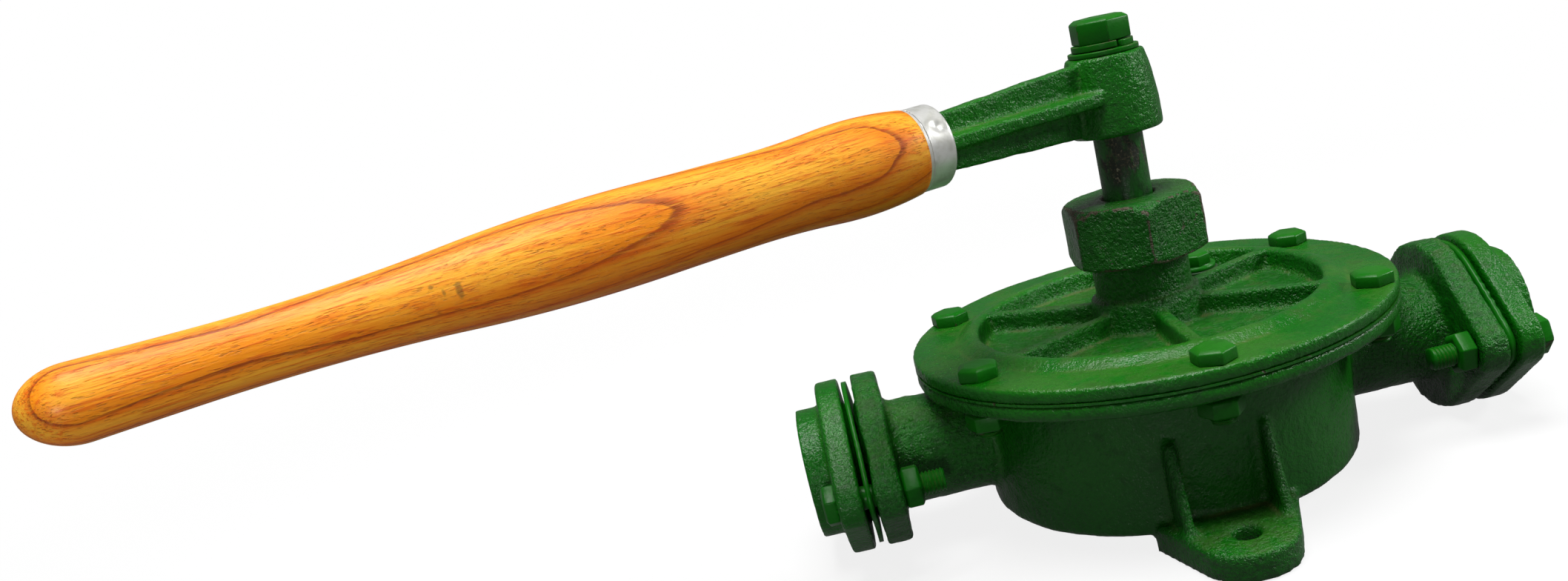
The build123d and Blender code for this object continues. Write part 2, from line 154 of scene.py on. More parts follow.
class Pattern(NodeSheet):
    # a Geometry Nodes tree that sets out copies of one part, with named sizes
    def __init__(self, name, sizes):
        self.tree = bpy.data.node_groups.new(name, "GeometryNodeTree")
        self.name = name
        self.sizes = {}
        kinds = {int: "NodeSocketInt", float: "NodeSocketFloat"}
        face = self.tree.interface
        face.new_socket("Part", in_out="INPUT", socket_type="NodeSocketGeometry")
        for label, value in sizes.items():
            socket = face.new_socket(label, in_out="INPUT", socket_type=kinds[type(value)])
            self.sizes[label] = (socket.identifier, value)
        finish = face.new_socket("Finish", in_out="INPUT", socket_type="NodeSocketMaterial")
        self.finishKey = finish.identifier
        face.new_socket("Set", in_out="OUTPUT", socket_type="NodeSocketGeometry")
        self.start = self.tree.nodes.new("NodeGroupInput")

    def size(self, label):
        return Wire(self, self.start.outputs[label])

    def turned(self, spread, seed):
        # a small random turn of each copy about its own axis
        turn = self.node("FunctionNodeRandomValue", {"data_type": "FLOAT"}, {
            2: spread * -1.0, 3: spread, 8: seed}, 1)
        euler = self.node("ShaderNodeCombineXYZ", {}, {2: turn})
        return self.node("FunctionNodeEulerToRotation", {}, {0: euler})

    def setOut(self, points, rotation):
        copies = self.node("GeometryNodeInstanceOnPoints", {}, {
            "Points": points, "Instance": self.size("Part"), "Rotation": rotation})
        solid = self.node("GeometryNodeRealizeInstances", {}, {"Geometry": copies})
        finished = self.node("GeometryNodeSetMaterial", {}, {
            "Geometry": solid, "Material": self.size("Finish")})
        self.node("NodeGroupOutput", {}, {0: finished}, None)

    def run(self, part, material, changes=None):
        bench = bpy.data.objects.new(self.name, part)
        bpy.context.scene.collection.objects.link(bench)
        modifier = bench.modifiers.new(self.name, "NODES")
        modifier.node_group = self.tree
        modifier[self.finishKey] = material
        for label, (key, value) in self.sizes.items():
            modifier[key] = (changes or {}).get(label, value)
        graph = bpy.context.evaluated_depsgraph_get()
        mesh = bpy.data.meshes.new_from_object(bench.evaluated_get(graph))
        bpy.data.objects.remove(bench)
        return mesh


def sRgb(red, green, blue):
    # a colour as a paint chart gives it, 0 to 255
    return tuple((c / 255 / 12.92) if c <= 10 else ((c / 255 + 0.055) / 1.055) ** 2.4
                 for c in (red, green, blue))


# Materials first, so that each piece can name its own
green = {"deep": sRgb(2, 56, 3), "main": sRgb(8, 102, 8), "bright": sRgb(26, 118, 18),
         "dust": sRgb(78, 100, 42), "chip": sRgb(88, 76, 60)}


# How many times per metre each kind of mark repeats
marks = {"brushedAreas": 26.0, "patches": 150.0, "chipGrain": 420.0, "chipAreas": 60.0,
         "pitsPerSandGrain": 2.6}


def castPaint(name, settings):
    # brushed gloss paint over sand-cast iron
    paint = Finish(name)
    edge = paint.attribute("edgeWear")  # above zero on outer edges, below zero in hollows
    up = paint.split(paint.node("ShaderNodeNewGeometry", output="Normal"))[2]
    broad = paint.smooth(paint.grain(marks["brushedAreas"], 2.0), 0.35, 0.68)
    patches = paint.grain(marks["patches"], 3.0, 0.6)
    sandy = 0.3 + paint.attribute("sandy") * 0.7
    sand = paint.grain(settings["sandScale"], 3.0, 0.62)
    pits = paint.grain(settings["sandScale"] * marks["pitsPerSandGrain"], 2.0, 0.5)
    coat = paint.tint(broad * 0.7, green["main"], green["bright"])
    coat = paint.tint(paint.smooth(patches, 0.56, 0.72) * 0.35, coat, green["deep"])
    # painted shade: the paint is darkened toward deep green in the low spots between the sand grains
    between = paint.smooth(sand, 0.58, 0.34) * sandy * settings["sandShade"]
    coat = paint.tint(between, coat, green["deep"])
    # dust lies on ledges and grime in hollows
    hollow = paint.smooth(edge + (patches - 0.5) * 0.5, -0.05, -0.4)
    ledge = paint.smooth(up, 0.55, 0.95)
    dusty = (ledge * (0.25 + hollow) * paint.smooth(patches + 0.25 * broad, 0.46, 0.74)
             * settings["dust"])
    grime = hollow * paint.smooth(pits, 0.42, 0.62) * settings["grime"]
    dusty = (dusty + grime).least(1.0)
    coat = paint.tint(dusty, coat, green["dust"])
    # edges are rubbed down to the iron here and there
    chipGrain = (paint.grain(marks["chipGrain"], 3.0, 0.65) - 0.5) * 1.3
    chipAreas = (paint.grain(marks["chipAreas"], 1.0) - 0.5) * 1.6
    rub = paint.smooth(edge + chipGrain + chipAreas, settings["chipEdge"],
                       settings["chipEdge"] + 0.12)
    coat = paint.tint(rub * settings["chips"], coat, green["chip"])
    relief = (sand + pits * 0.35) * sandy * settings["sandDepth"] + patches * 0.3 - rub * 0.25
    gloss = settings["gloss"] + (patches - 0.5) * 0.22 + dusty * 0.35 + rub * 0.3
    return paint.surface({
        "Base Color": coat, "Roughness": gloss, "Specular IOR Level": settings["shine"],
        "Normal": paint.bump(relief, settings["relief"] * mm)})


paints = {
    "rough": castPaint("roughCastPaint", {
        "sandScale": 640.0, "sandShade": 0.5, "sandDepth": 1.0, "relief": 1.3, "gloss": 0.22,
        "shine": 0.36, "dust": 1.0, "grime": 0.25, "chipEdge": 0.9, "chips": 0.75}),
    "plain": castPaint("smoothCastPaint", {
        "sandScale": 560.0, "sandShade": 0.3, "sandDepth": 0.9, "relief": 1.0, "gloss": 0.22,
        "shine": 0.32, "dust": 0.4, "grime": 0.2, "chipEdge": 0.9, "chips": 0.7}),
    "gland": castPaint("glandNutPaint", {
        "sandScale": 640.0, "sandShade": 0.4, "sandDepth": 1.0, "relief": 1.5, "gloss": 0.2,
        "shine": 0.42, "dust": 0.7, "grime": 0.2, "chipEdge": 0.39, "chips": 0.9}),
    "fastener": castPaint("fastenerPaint", {
        "sandScale": 700.0, "sandShade": 0.2, "sandDepth": 0.5, "relief": 0.5, "gloss": 0.33,
        "shine": 0.2, "dust": 0.4, "grime": 0.5, "chipEdge": 0.8, "chips": 0.8})}


# Below the boss the shaft's paint is scraped through, from wornFrom upwards
scraped = {"wornFrom": 112.0 * mm, "wornFully": 118.0 * mm, "ragged": 30.0 * mm,
           "stain": sRgb(30, 38, 22), "steel": sRgb(84, 76, 56), "speck": sRgb(150, 140, 120)}


def shaftPaint():
    # green paint over dark stained steel
    finish = Finish("wornShaftPaint")
    height = finish.split(finish.place)[2]
    ragged = finish.grain(170.0, 4.0, 0.65, stretch=(1.0, 1.0, 0.5))
    specks = finish.grain(950.0, 2.0, 0.6)
    worn = finish.smooth(height + (ragged - 0.5) * scraped["ragged"], scraped["wornFrom"],
                         scraped["wornFully"])
    coat = finish.tint(finish.smooth(ragged, 0.4, 0.66), green["main"], green["deep"])
    metal = finish.tint(finish.smooth(specks, 0.46, 0.66), scraped["stain"], scraped["steel"])
    bare = finish.smooth(specks + (ragged - 0.5), 0.72, 0.84)
    metal = finish.tint(bare, metal, scraped["speck"])
    patch = worn * finish.smooth(ragged, 0.4, 0.58)
    return finish.surface({
        "Base Color": finish.tint(patch, coat, metal), "Roughness": 0.34 + patch * 0.25,
        "Normal": finish.bump(ragged * 0.6 + specks * 0.4 - patch * 0.5, 0.5 * mm)})


def pressedTin():
    # the ferrule's bright sheet, dulled by handling
    finish = Finish("pressedTin")
    brushed = finish.grain(260.0, 3.0, 0.6)
    scuffs = finish.grain(1500.0, 2.0, 0.6)
    bright, dull = sRgb(242, 242, 238), sRgb(216, 216, 208)
    colour = finish.tint(finish.smooth(brushed, 0.35, 0.7), bright, dull)
    return finish.surface({
        "Base Color": colour, "Metallic": 0.6, "Roughness": 0.28 + brushed * 0.16,
        "Normal": finish.bump(brushed * 0.5 + scuffs * 0.2, 0.1 * mm)})


def plainFinish(name, first, second, scale, gloss, relief, metal=0.0):
    finish = Finish(name)
    spots = finish.grain(scale, 3.0, 0.6)
    return finish.surface({
        "Base Color": finish.tint(finish.smooth(spots, 0.35, 0.65), first, second),
        "Metallic": metal, "Roughness": gloss + (spots - 0.5) * 0.2,
        "Normal": finish.bump(spots, relief * mm)})


# Measures of the wood are millimetres along the arm, to its side and upwards, and degrees
wood = {"armAngle": 208.0, "axisHeight": 139.05 * mm, "grainTilt": 24.0,
        "boardCurve": 60.0, "ringStep": 5.65, "firstRing": 13.85,
        "start": 60.0, "length": 270.0, "driftRange": (-4.0, 13.0),
        "drift": [(0.0, -4.0), (0.139, 0.0), (0.194, 2.0), (0.256, 3.65), (0.319, 5.2),
                  (0.385, 6.2), (0.5, 8.64), (0.675, 12.1), (0.81, 11.9), (0.89, 12.25),
                  (1.0, 12.7)],
        "bruises": [((224.9, 11.0, 1.0), (1.0, 2.4)), ((228.6, 11.0, 1.4), (0.6, 1.0)),
                    ((231.0, 10.2, 3.6), (0.8, 0.8))],
        # blush is a painted shade colour, darker and redder, for the handle's lower side
        "light": sRgb(255, 184, 50), "middle": sRgb(255, 140, 2), "deep": sRgb(222, 92, 0),
        "line": sRgb(138, 56, 2), "olive": sRgb(218, 140, 14), "undersideShade": sRgb(236, 100, 14),
        "bruise": sRgb(74, 52, 34)}


def varnishedWood():
    # a turned handle: the growth rings are slightly bent sheets that drift along the board
    finish = Finish("varnishedWood")
    turn = math.radians(wood["armAngle"])
    local = finish.node("ShaderNodeMapping", {"vector_type": "TEXTURE"}, {
        "Vector": finish.place, "Location": (0.0, 0.0, wood["axisHeight"]),
        "Rotation": (0.0, 0.0, turn), "Scale": (mm, mm, mm)})  # now in millimetres
    along, side, rise = finish.split(local)
    tilt = math.radians(wood["grainTilt"])
    depth = side * math.cos(tilt) + rise * math.sin(tilt)
    across = rise * math.cos(tilt) - side * math.sin(tilt)
    lowest, highest = wood["driftRange"]
    stops = [(share, ((value - lowest) / (highest - lowest),) * 3)
             for share, value in wood["drift"]]
    ramp = finish.node("ShaderNodeValToRGB", {"stops": stops}, {
        0: (along - wood["start"]) / wood["length"]})
    drift = finish.node("ShaderNodeSeparateColor", {}, {0: ramp}) * (highest - lowest) + lowest
    wander = finish.grain(1.0, 3.0, 0.55, place=local, stretch=(0.022, 0.09, 0.09)) - 0.5
    ripple = finish.grain(1.0, 2.0, 0.6, place=local, stretch=(0.12, 0.5, 0.5)) - 0.5
    field = depth + across * across / (2.0 * wood["boardCurve"]) + drift + wander * 0.8 + ripple * 0.3
    phase = (field - wood["firstRing"]) / wood["ringStep"] + 20.0
    step = finish.node("ShaderNodeMath", {"operation": "FRACT"}, {0: phase})  # 0 just inside a ring
    fibres = finish.grain(1.0, 4.0, 0.68, place=local, stretch=(0.06, 1.5, 1.5))
    strands = finish.grain(1.0, 2.0, 0.6, place=local, stretch=(0.018, 0.55, 0.55))
    pores = finish.grain(1.0, 1.0, 0.5, place=local, stretch=(0.4, 3.4, 3.4))
    # within a ring: olive and orange early wood, a light middle, then deeper late wood
    colour = finish.tint(finish.smooth(step, 0.0, 0.55), wood["middle"], wood["light"])
    colour = finish.tint(finish.smooth(strands, 0.4, 0.7) * 0.6, colour, wood["middle"])
    colour = finish.tint(finish.smooth(step, 0.34, 0.0) * 0.4, colour, wood["olive"])
    colour = finish.tint(finish.smooth(step, 0.66, 0.99) * 0.7, colour, wood["deep"])
    darkLine = finish.smooth(step, 0.9, 0.985).most(finish.smooth(step, 0.022, 0.0))
    broken = 0.6 + 0.4 * finish.smooth(fibres + ripple * 0.3, 0.4, 0.6)
    colour = finish.tint(darkLine * broken, colour, wood["line"])
    colour = finish.tint(finish.smooth(fibres, 0.5, 0.64) * 0.75, colour, wood["deep"])
    colour = finish.tint(finish.smooth(fibres, 0.47, 0.3) * 0.45, colour, wood["light"])
    poreMask = finish.smooth(pores, 0.58, 0.7) * finish.smooth(strands, 0.35, 0.6)
    colour = finish.tint(poreMask * 0.38, colour, wood["line"])
    # painted shade: the handle's lower side is painted darker and redder
    shadedUnderside = finish.smooth(across + wander * 6.0, -3.0, -13.0)
    colour = finish.tint(shadedUnderside * 0.45, colour, wood["undersideShade"])
    bruised = 0.0
    for centre, (length, width) in wood["bruises"]:
        gap = finish.node("ShaderNodeVectorMath", {"operation": "MULTIPLY_ADD"}, {
            0: local, 1: (1.0 / length, 1.0 / width, 1.0 / width),
            2: (-centre[0] / length, -centre[1] / width, -centre[2] / width)})
        far = finish.node("ShaderNodeVectorMath", {"operation": "LENGTH"}, {0: gap}, "Value")
        bruised = bruised + finish.smooth(far + fibres * 1.6 + strands * 0.6, 2.2, 1.6)
    colour = finish.tint(bruised.least(1.0) * 0.5, colour, wood["bruise"])
    relief = fibres * 0.55 + strands * 0.25 - poreMask * 0.5 + wander * 0.2
    return finish.surface({
        "Base Color": colour, "Roughness": 0.46 + (fibres - 0.5) * 0.5,
        "Specular IOR Level": 0.25, "Coat Weight": 0.1, "Coat Roughness": 0.24, "Coat IOR": 1.5,
        "Normal": finish.bump(relief, 0.42 * mm)})


finishes = {
    "wood": varnishedWood(), "shaft": shaftPaint(), "tin": pressedTin(),
    "steel": plainFinish("bareSteel", sRgb(150, 150, 148), sRgb(112, 110, 106),
                         scale=300.0, gloss=0.42, relief=0.1, metal=1.0),
    "card": plainFinish("gasketCard", sRgb(16, 66, 16), sRgb(30, 58, 22),
                        scale=240.0, gloss=0.6, relief=0.3),
    "cord": plainFinish("packingCord", sRgb(74, 62, 46), sRgb(36, 32, 26),
                        scale=500.0, gloss=0.9, relief=0.4)}
print("finishes made:", len(paints) + len(finishes))


# Small tools for meshes
def plainMesh(name, points, faces):
    # a closed mesh with every face turned outwards
    mesh = bpy.data.meshes.new(name)
    mesh.from_pydata([tuple(p) for p in points], [], faces)
    work = bmesh.new()
    work.from_mesh(mesh)
    bmesh.ops.remove_doubles(work, verts=work.verts, dist=1e-6)
    bmesh.ops.recalc_face_normals(work, faces=work.faces)
    work.to_mesh(mesh)
    work.free()
    mesh.shade_smooth()
    return mesh


def skin(rings, closed=False):
    # joins rings of equal count; open ends get a fan, closed runs back to the first ring
    columns = len(rings[0])
    points = [p for ring in rings for p in ring]
    faces = []
    last = len(rings) if closed else len(rings) - 1
    for row in range(last):
        low = row * columns
        high = (row + 1) % len(rings) * columns
        for column in range(columns):
            beside = (column + 1) % columns
            faces.append((low + column, low + beside, high + beside, high + column))
    if not closed:
        for ring, start in ((rings[0], 0), (rings[-1], (len(rings) - 1) * columns)):
            points.append(sum((Vector(p) for p in ring), Vector()) / columns)
            hub = len(points) - 1
            faces += [(start + c, start + (c + 1) % columns, hub) for c in range(columns)]
    return points, faces


def soften(outline, radius, steps=4, closed=True):
    # rounds the corners of an outline of (r, h) pairs
    made = []
    count = len(outline)
    for index, corner in enumerate(outline):
        if not closed and index in (0, count - 1):
            made.append(corner)
            continue
        corner = Vector(corner)
        before = Vector(outline[index - 1]) - corner
        after = Vector(outline[(index + 1) % count]) - corner
        first = corner + before.normalized() * min(radius, before.length * 0.45)
        second = corner + after.normalized() * min(radius, after.length * 0.45)
        for step in range(steps + 1):
            t = step / steps
            made.append(tuple(first * (1 - t) ** 2 + corner * 2 * t * (1 - t) + second * t * t))
    return made


def lathe(outline, columns=96, closed=True):
    rings = []
    for radius, height in outline:
        rings.append([Vector((radius * math.cos(a), radius * math.sin(a), height))
                      for a in (2 * math.pi * c / columns for c in range(columns))])
    return skin(rings, closed)


def hexagon(acrossFlats, corner, inset=0.0, steps=5):
    # a hexagon with rounded corners, always the same number of points
    apothem = acrossFlats / 2 - corner
    ring = []
    for side in range(6):
        middle = math.radians(60 * side)
        tip = Vector((apothem, apothem * math.tan(math.radians(30)), 0))
        tip.rotate(Matrix.Rotation(middle, 3, "Z"))
        for step in range(steps + 1):
            a = middle + math.radians(60) * step / steps
            ring.append(tip + Vector((math.cos(a), math.sin(a), 0)) * (corner - inset))
    return ring


def hexSolid(sizes):
    # a hexagon head or nut with turned chamfers, standing on height 0
    flats, height, corner = sizes["flats"], sizes["height"], sizes["corner"]
    edge, crown, dome = sizes["edge"], sizes["crown"], sizes.get("dome", 0.0)
    slope = math.tan(math.radians(30.0))  # of the chamfer, outside the crown's circle
    rounding = [(edge, 0.0), (edge * 0.3, edge * 0.3), (0.0, edge)]  # inset and depth

    def level(base, direction, crown, inset, depth):
        ring = []
        for point in hexagon(flats, corner, inset):
            drop = max(0.0, point.length - crown) * slope if crown else 0.0
            ring.append(Vector((point.x, point.y, base + direction * (drop + depth))))
        return ring

    def circle(radius, top):
        ring = []
        for point in hexagon(flats, corner):
            reach = min(radius, point.length)
            ring.append(point.normalized() * reach + Vector((0, 0, top)))
        return ring

    footCrown = sizes.get("footCrown")
    rings = [circle(footCrown, 0.0)] if footCrown else []
    rings += [level(0.0, 1, footCrown, *step) for step in rounding]
    rings += [level(height, -1, crown, *step) for step in reversed(rounding)]
    rings += [circle(crown, height), circle(crown * 0.75, height + dome * 0.7)]
    if "hole" in sizes:
        return skin(rings + [circle(sizes["hole"], height), circle(sizes["hole"], 0.0)], True)
    return skin(rings + [circle(crown * 0.3, height + dome)])


def threadRod(sizes):
    # a rod that hangs down from height 0: plain first, then a real helix
    columns, stepsPerTurn = 24, 6
    pitch, plain, tip = sizes["pitch"], sizes["plain"], sizes["tip"]
    threaded = sizes["length"] - plain
    fine = int(threaded / (pitch / stepsPerTurn))
    heights = [0.0, -plain]
    heights += [-plain - (threaded - tip) * s / fine for s in range(1, fine + 1)]
    heights += [-sizes["length"] + tip * 0.3, -sizes["length"]]
    last = len(heights) - 1
    rings = []
    for number, height in enumerate(heights):
        ring = []
        for column in range(columns):
            a = 2 * math.pi * column / columns
            radius = sizes["radius"]
            if 1 < number < last:
                wave = 0.5 + 0.5 * math.cos(2 * math.pi * (height / pitch) - a)
                radius -= sizes["depth"] * wave
            elif number == last:
                radius -= tip
            ring.append(Vector((radius * math.cos(a), radius * math.sin(a), height)))
        rings.append(ring)
    rings.reverse()
    return skin(rings)


def joined(*solids):
    # several closed skins as one
    points, faces = [], []
    for more, these in solids:
        start = len(points)
        points += [Vector(p) for p in more]
        faces += [tuple(start + i for i in face) for face in these]
    return points, faces


def moved(solid, matrix):
    points, faces = solid
    return [matrix @ Vector(p) for p in points], faces


def averaged(values, links, counts):
    # each vertex takes half of its neighbours' mean
    total = np.zeros_like(values)
    np.add.at(total, links[:, 0], values[links[:, 1]])
    np.add.at(total, links[:, 1], values[links[:, 0]])
    return 0.5 * values + 0.5 * (total.T / counts).T


def readVectors(source, name, count):
    values = np.zeros(count * 3)
    source.foreach_get(name, values)
    return values.reshape(-1, 3)


def markEdges(mesh, reach, rounds=2):
    # stores how sharply the surface bends at each vertex, for wear and dust
    count = len(mesh.vertices)
    places = readVectors(mesh.vertices, "co", count)
    normals = readVectors(mesh.vertex_normals, "vector", count)
    links = np.zeros(len(mesh.edges) * 2, int)
    mesh.edges.foreach_get("vertices", links)
    links = links.reshape(-1, 2)
    counts = np.maximum(1, np.bincount(links.ravel(), minlength=count)).astype(float)
    step = places[links[:, 1]] - places[links[:, 0]]
    turn = normals[links[:, 1]] - normals[links[:, 0]]
    bend = (step * turn).sum(1) / np.maximum(1e-12, (step * step).sum(1))
    value = np.zeros(count)
    np.add.at(value, links[:, 0], bend)
    np.add.at(value, links[:, 1], bend)
    value = np.clip(value / counts * reach, -1.5, 1.5)
    for _ in range(rounds):
        value = averaged(value, links, counts)
    layer = mesh.attributes.new("edgeWear", "FLOAT", "POINT")
    layer.data.foreach_set("value", value.astype(np.float32))


def place(name, mesh, material, body, slotName, standsFor):
    # puts a finished mesh into the scene on its body
    piece = bpy.data.objects.new(name, mesh)
    bpy.context.scene.collection.objects.link(piece)
    mesh.materials.clear()
    mesh.materials.append(material)
    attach(piece, body)
    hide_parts(*standsFor)


# The castings: the exact forms of the frame, with softened edges and a sand-cast skin
foundry = {"weld": 0.004 * mm, "softening": 0.5, "sole": 0.7 * mm, "soleFacing": -0.8,
           "grain": 0.6}


def casting(name, node, body, material, settings):
    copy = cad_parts[node].data.copy()
    work = bmesh.new()
    work.from_mesh(copy)
    bmesh.ops.remove_doubles(work, verts=work.verts, dist=foundry["weld"])
    work.transform(Matrix.Rotation(math.radians(settings.get("turn", 0.0)), 4, "Z"))
    low = Vector([min(v.co[axis] for v in work.verts) for axis in range(3)])
    high = Vector([max(v.co[axis] for v in work.verts) for axis in range(3)])
    work.to_mesh(copy)
    work.free()
    bench = bpy.data.objects.new("bench", copy)
    bpy.context.scene.collection.objects.link(bench)
    remesh = bench.modifiers.new("skin", "REMESH")
    remesh.mode = "VOXEL"
    remesh.voxel_size = settings["voxel"] * mm
    soft = bench.modifiers.new("soften", "SMOOTH")
    soft.factor = foundry["softening"]
    soft.iterations = settings["rounds"]
    graph = bpy.context.evaluated_depsgraph_get()
    mesh = bpy.data.meshes.new_from_object(bench.evaluated_get(graph))
    bpy.data.objects.remove(bench)
    mesh.shade_smooth()
    count = len(mesh.vertices)
    places = readVectors(mesh.vertices, "co", count)
    normals = readVectors(mesh.vertex_normals, "vector", count)
    lumps = np.zeros(count)
    for scale, height in settings["lumps"]:
        lumps += height * mm * np.array([noise.noise(Vector(p) * scale) for p in places])
    if "rougher" in settings:
        lumps *= settings["rougher"](places)
    if settings.get("flatSoles"):
        # what it stands on stays flat
        soles = places[:, 2] < low.z + foundry["sole"]
        lumps[soles] = 0.0
        under = soles & (normals[:, 2] < foundry["soleFacing"])
        places[under, 2] = low.z
    places = np.clip(places + normals * lumps[:, None], low, high)
    mesh.vertices.foreach_set("co", places.ravel())
    mesh.update()
    markEdges(mesh, settings["edgeReach"] * mm)
    grain = settings.get("grain", foundry["grain"])
    sandy = settings["sandy"](places) if "sandy" in settings else np.full(count, grain)
    layer = mesh.attributes.new("sandy", "FLOAT", "POINT")
    layer.data.foreach_set("value", np.clip(sandy, 0, 1).astype(np.float32))
    place(name, mesh, material, body, "green_paint", (node,))
    print("cast", name, "with", len(mesh.polygons), "faces")


# Where the skin changes from smooth to rough, and over what length
change = {"neck": (62.0 * mm, 15.0 * mm), "foot": (66.5 * mm, 2.0 * mm), "footTop": 50.0 * mm,
          "pocket": (61.5 * mm, 2.0 * mm), "port": (72.0 * mm, 20.0 * mm), "smooth": 0.12,
          "roughBody": 0.9, "roughCover": 0.85, "portLumps": 1.2}


def bodySand(places):
    # the drum's wall is smooth, the necks, webs and feet show the sand of the mould
    across = np.hypot(places[:, 0], places[:, 1])
    neckFrom, neckLength = change["neck"]
    footFrom, footLength = change["foot"]
    necks = np.clip((np.abs(places[:, 0]) - neckFrom) / neckLength, 0.0, 1.0)
    feet = np.clip((across - footFrom) / footLength, 0.0, 1.0) * (places[:, 2] < change["footTop"])
    return np.maximum(change["smooth"], np.maximum(necks, feet) * change["roughBody"])


def coverSand(places):
    # the flange is smooth, the pockets and the hub are rough
    across = np.hypot(places[:, 0], places[:, 1])
    pocketEdge, length = change["pocket"]
    return np.clip((pocketEdge - across) / length, change["smooth"], change["roughCover"])


def portLumps(places):
    # the flanges and the ends of the necks are more uneven than the drum
    start, length = change["port"]
    return 1.0 + change["portLumps"] * np.clip((np.abs(places[:, 0]) - start) / length, 0.0, 1.0)


bodyCasting = {"sandy": bodySand, "voxel": 1.2, "rounds": 4, "flatSoles": True, "edgeReach": 1.6,
               "lumps": [(60.0, 0.22), (170.0, 0.16), (420.0, 0.09)], "rougher": portLumps}
coverCasting = {"sandy": coverSand, "voxel": 0.9, "rounds": 5, "edgeReach": 1.5,
                "lumps": [(70.0, 0.14), (220.0, 0.08), (500.0, 0.05)]}
counterCasting = {"voxel": 0.9, "rounds": 3, "edgeReach": 1.3,
                  "lumps": [(60.0, 0.25), (180.0, 0.12), (420.0, 0.05)]}
# the nut is turned because the photo shows one of its corners in front
glandCasting = {"turn": 29.0, "grain": 0.9, "voxel": 0.55, "rounds": 9, "edgeReach": 1.4,
                "lumps": [(80.0, 0.25), (260.0, 0.16), (600.0, 0.08)]}
leverCasting = {"grain": 0.75, "voxel": 0.6, "rounds": 14, "edgeReach": 1.2,
                "lumps": [(70.0, 0.25), (230.0, 0.12), (560.0, 0.06)]}
casting("castBody", "body", "pump", paints["rough"], bodyCasting)
casting("castCover", "cover", "pump", paints["rough"], coverCasting)
casting("inletCounterFlange", "inlet_flange", "pump", paints["plain"], counterCasting)
casting("outletCounterFlange", "outlet_flange", "pump", paints["plain"], counterCasting)
casting("hexGlandNut", "gland_nut", "pump", paints["gland"], glandCasting)
casting("castLever", "lever", "lever", paints["plain"], leverCasting)

# Bolts and nuts, set out by two patterns; a pattern's turns are in radians
solidHead = 5.3 * mm  # height of the small heads in the frame
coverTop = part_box("cover_bolt_1")[1].z - solidHead
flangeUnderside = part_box("cover_nut_1")[1].z
boltSpot = (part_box("cover_bolt_1")[0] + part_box("cover_bolt_1")[1]) / 2
boltSizes = {"flats": 12.6 * mm, "height": 4.6 * mm, "corner": 0.7 * mm, "edge": 0.35 * mm,
             "crown": 5.6 * mm, "dome": 0.05 * mm}
nutSizes = dict(boltSizes, flats=13.0 * mm, height=6.5 * mm, footCrown=6.1 * mm,
                hole=3.9 * mm, dome=0.0)
coverBolts = {"Bolt circle": Vector((boltSpot.x, boltSpot.y)).length, "Count": 6,
              "First at": math.radians(30.0), "Height": coverTop, "Turn": math.radians(14.0)}
portBolts = {"Out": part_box("port_bolt_1")[1].x - solidHead, "Across": 35.5 * mm,
             "Height": 31.6 * mm, "Turn": math.radians(60.0)}
seeds = {"ring": 4, "heads": 7, "nuts": 11}


def ringPattern():
    # parts stand upright on a circle, each turned a little by chance
    pattern = Pattern("boltRing", coverBolts)
    circle = pattern.node("GeometryNodeMeshCircle", {}, {
        "Vertices": pattern.size("Count"), "Radius": pattern.size("Bolt circle")})
    turn = pattern.node("ShaderNodeCombineXYZ", {}, {2: pattern.size("First at")})
    lift = pattern.node("ShaderNodeCombineXYZ", {}, {2: pattern.size("Height")})
    spots = pattern.node("GeometryNodeTransform", {}, {
        "Geometry": circle, "Translation": lift, "Rotation": turn})
    pattern.setOut(spots, pattern.turned(pattern.size("Turn"), seeds["ring"]))
    return pattern


def portPattern(name, seed):
    # two parts on each end, beside the ports, with their heads outwards
    pattern = Pattern(name, portBolts)
    index = pattern.node("GeometryNodeInputIndex")
    half = pattern.node("ShaderNodeMath", {"operation": "FLOOR"}, {0: index / 2.0})
    end = half * 2.0 - 1.0
    across = (index - half * 2.0) * 2.0 - 1.0
    spot = pattern.node("ShaderNodeCombineXYZ", {}, {
        0: end * pattern.size("Out"), 1: across * pattern.size("Across"), 2: pattern.size("Height")})
    points = pattern.node("GeometryNodePoints", {}, {"Count": 4, "Position": spot})
    outward = pattern.node("ShaderNodeCombineXYZ", {}, {0: end})
    facing = pattern.node("FunctionNodeAlignRotationToVector", {"axis": "Z"}, {
        "Rotation": pattern.turned(pattern.size("Turn"), seed), "Vector": outward})
    pattern.setOut(points, facing)
    return pattern


def fastener(name, solid, pattern, nodes, changes=None):
    part = plainMesh(name, *solid)
    markEdges(part, 0.55 * mm, 0)
    mesh = pattern.run(part, paints["fastener"], changes)
    mesh.shade_smooth()
    place(name, mesh, paints["fastener"], "pump", "green_paint", nodes)


coverRod = {"radius": 4.0 * mm, "depth": 0.65 * mm, "pitch": 1.25 * mm, "plain": 9.0 * mm,
            "length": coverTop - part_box("cover_bolt_1")[0].z, "tip": 0.6 * mm}
portRod = dict(coverRod, plain=12.0 * mm,
               length=portBolts["Out"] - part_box("port_bolt_1")[0].x)
ring = ringPattern()
headPattern = portPattern("portHeads", seeds["heads"])
nutPattern = portPattern("portNutSet", seeds["nuts"])
fastener("coverBolts", joined(hexSolid(boltSizes), threadRod(coverRod)), ring,
         [f"cover_bolt_{n}" for n in range(1, 7)])
nutDown = Matrix.Translation((0, 0, -nutSizes["height"]))
fastener("coverNuts", moved(hexSolid(nutSizes), nutDown), ring,
         [f"cover_nut_{n}" for n in range(1, 7)], {"Height": flangeUnderside, "Turn": 1.1})
fastener("portBolts", joined(hexSolid(boltSizes), threadRod(portRod)), headPattern,
         [f"port_bolt_{n}" for n in range(1, 5)])
fastener("portNuts", moved(hexSolid(nutSizes), nutDown), nutPattern,
         [f"port_nut_{n}" for n in range(1, 5)], {"Out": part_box("port_nut_1")[1].x})
print("bolts and nuts set out")


def turnedPiece(name, solid, body, slotName, material, nodes, reach=0.6):
    mesh = plainMesh(name, *solid)
    markEdges(mesh, reach * mm, 0)
    place(name, mesh, material, body, slotName, nodes)


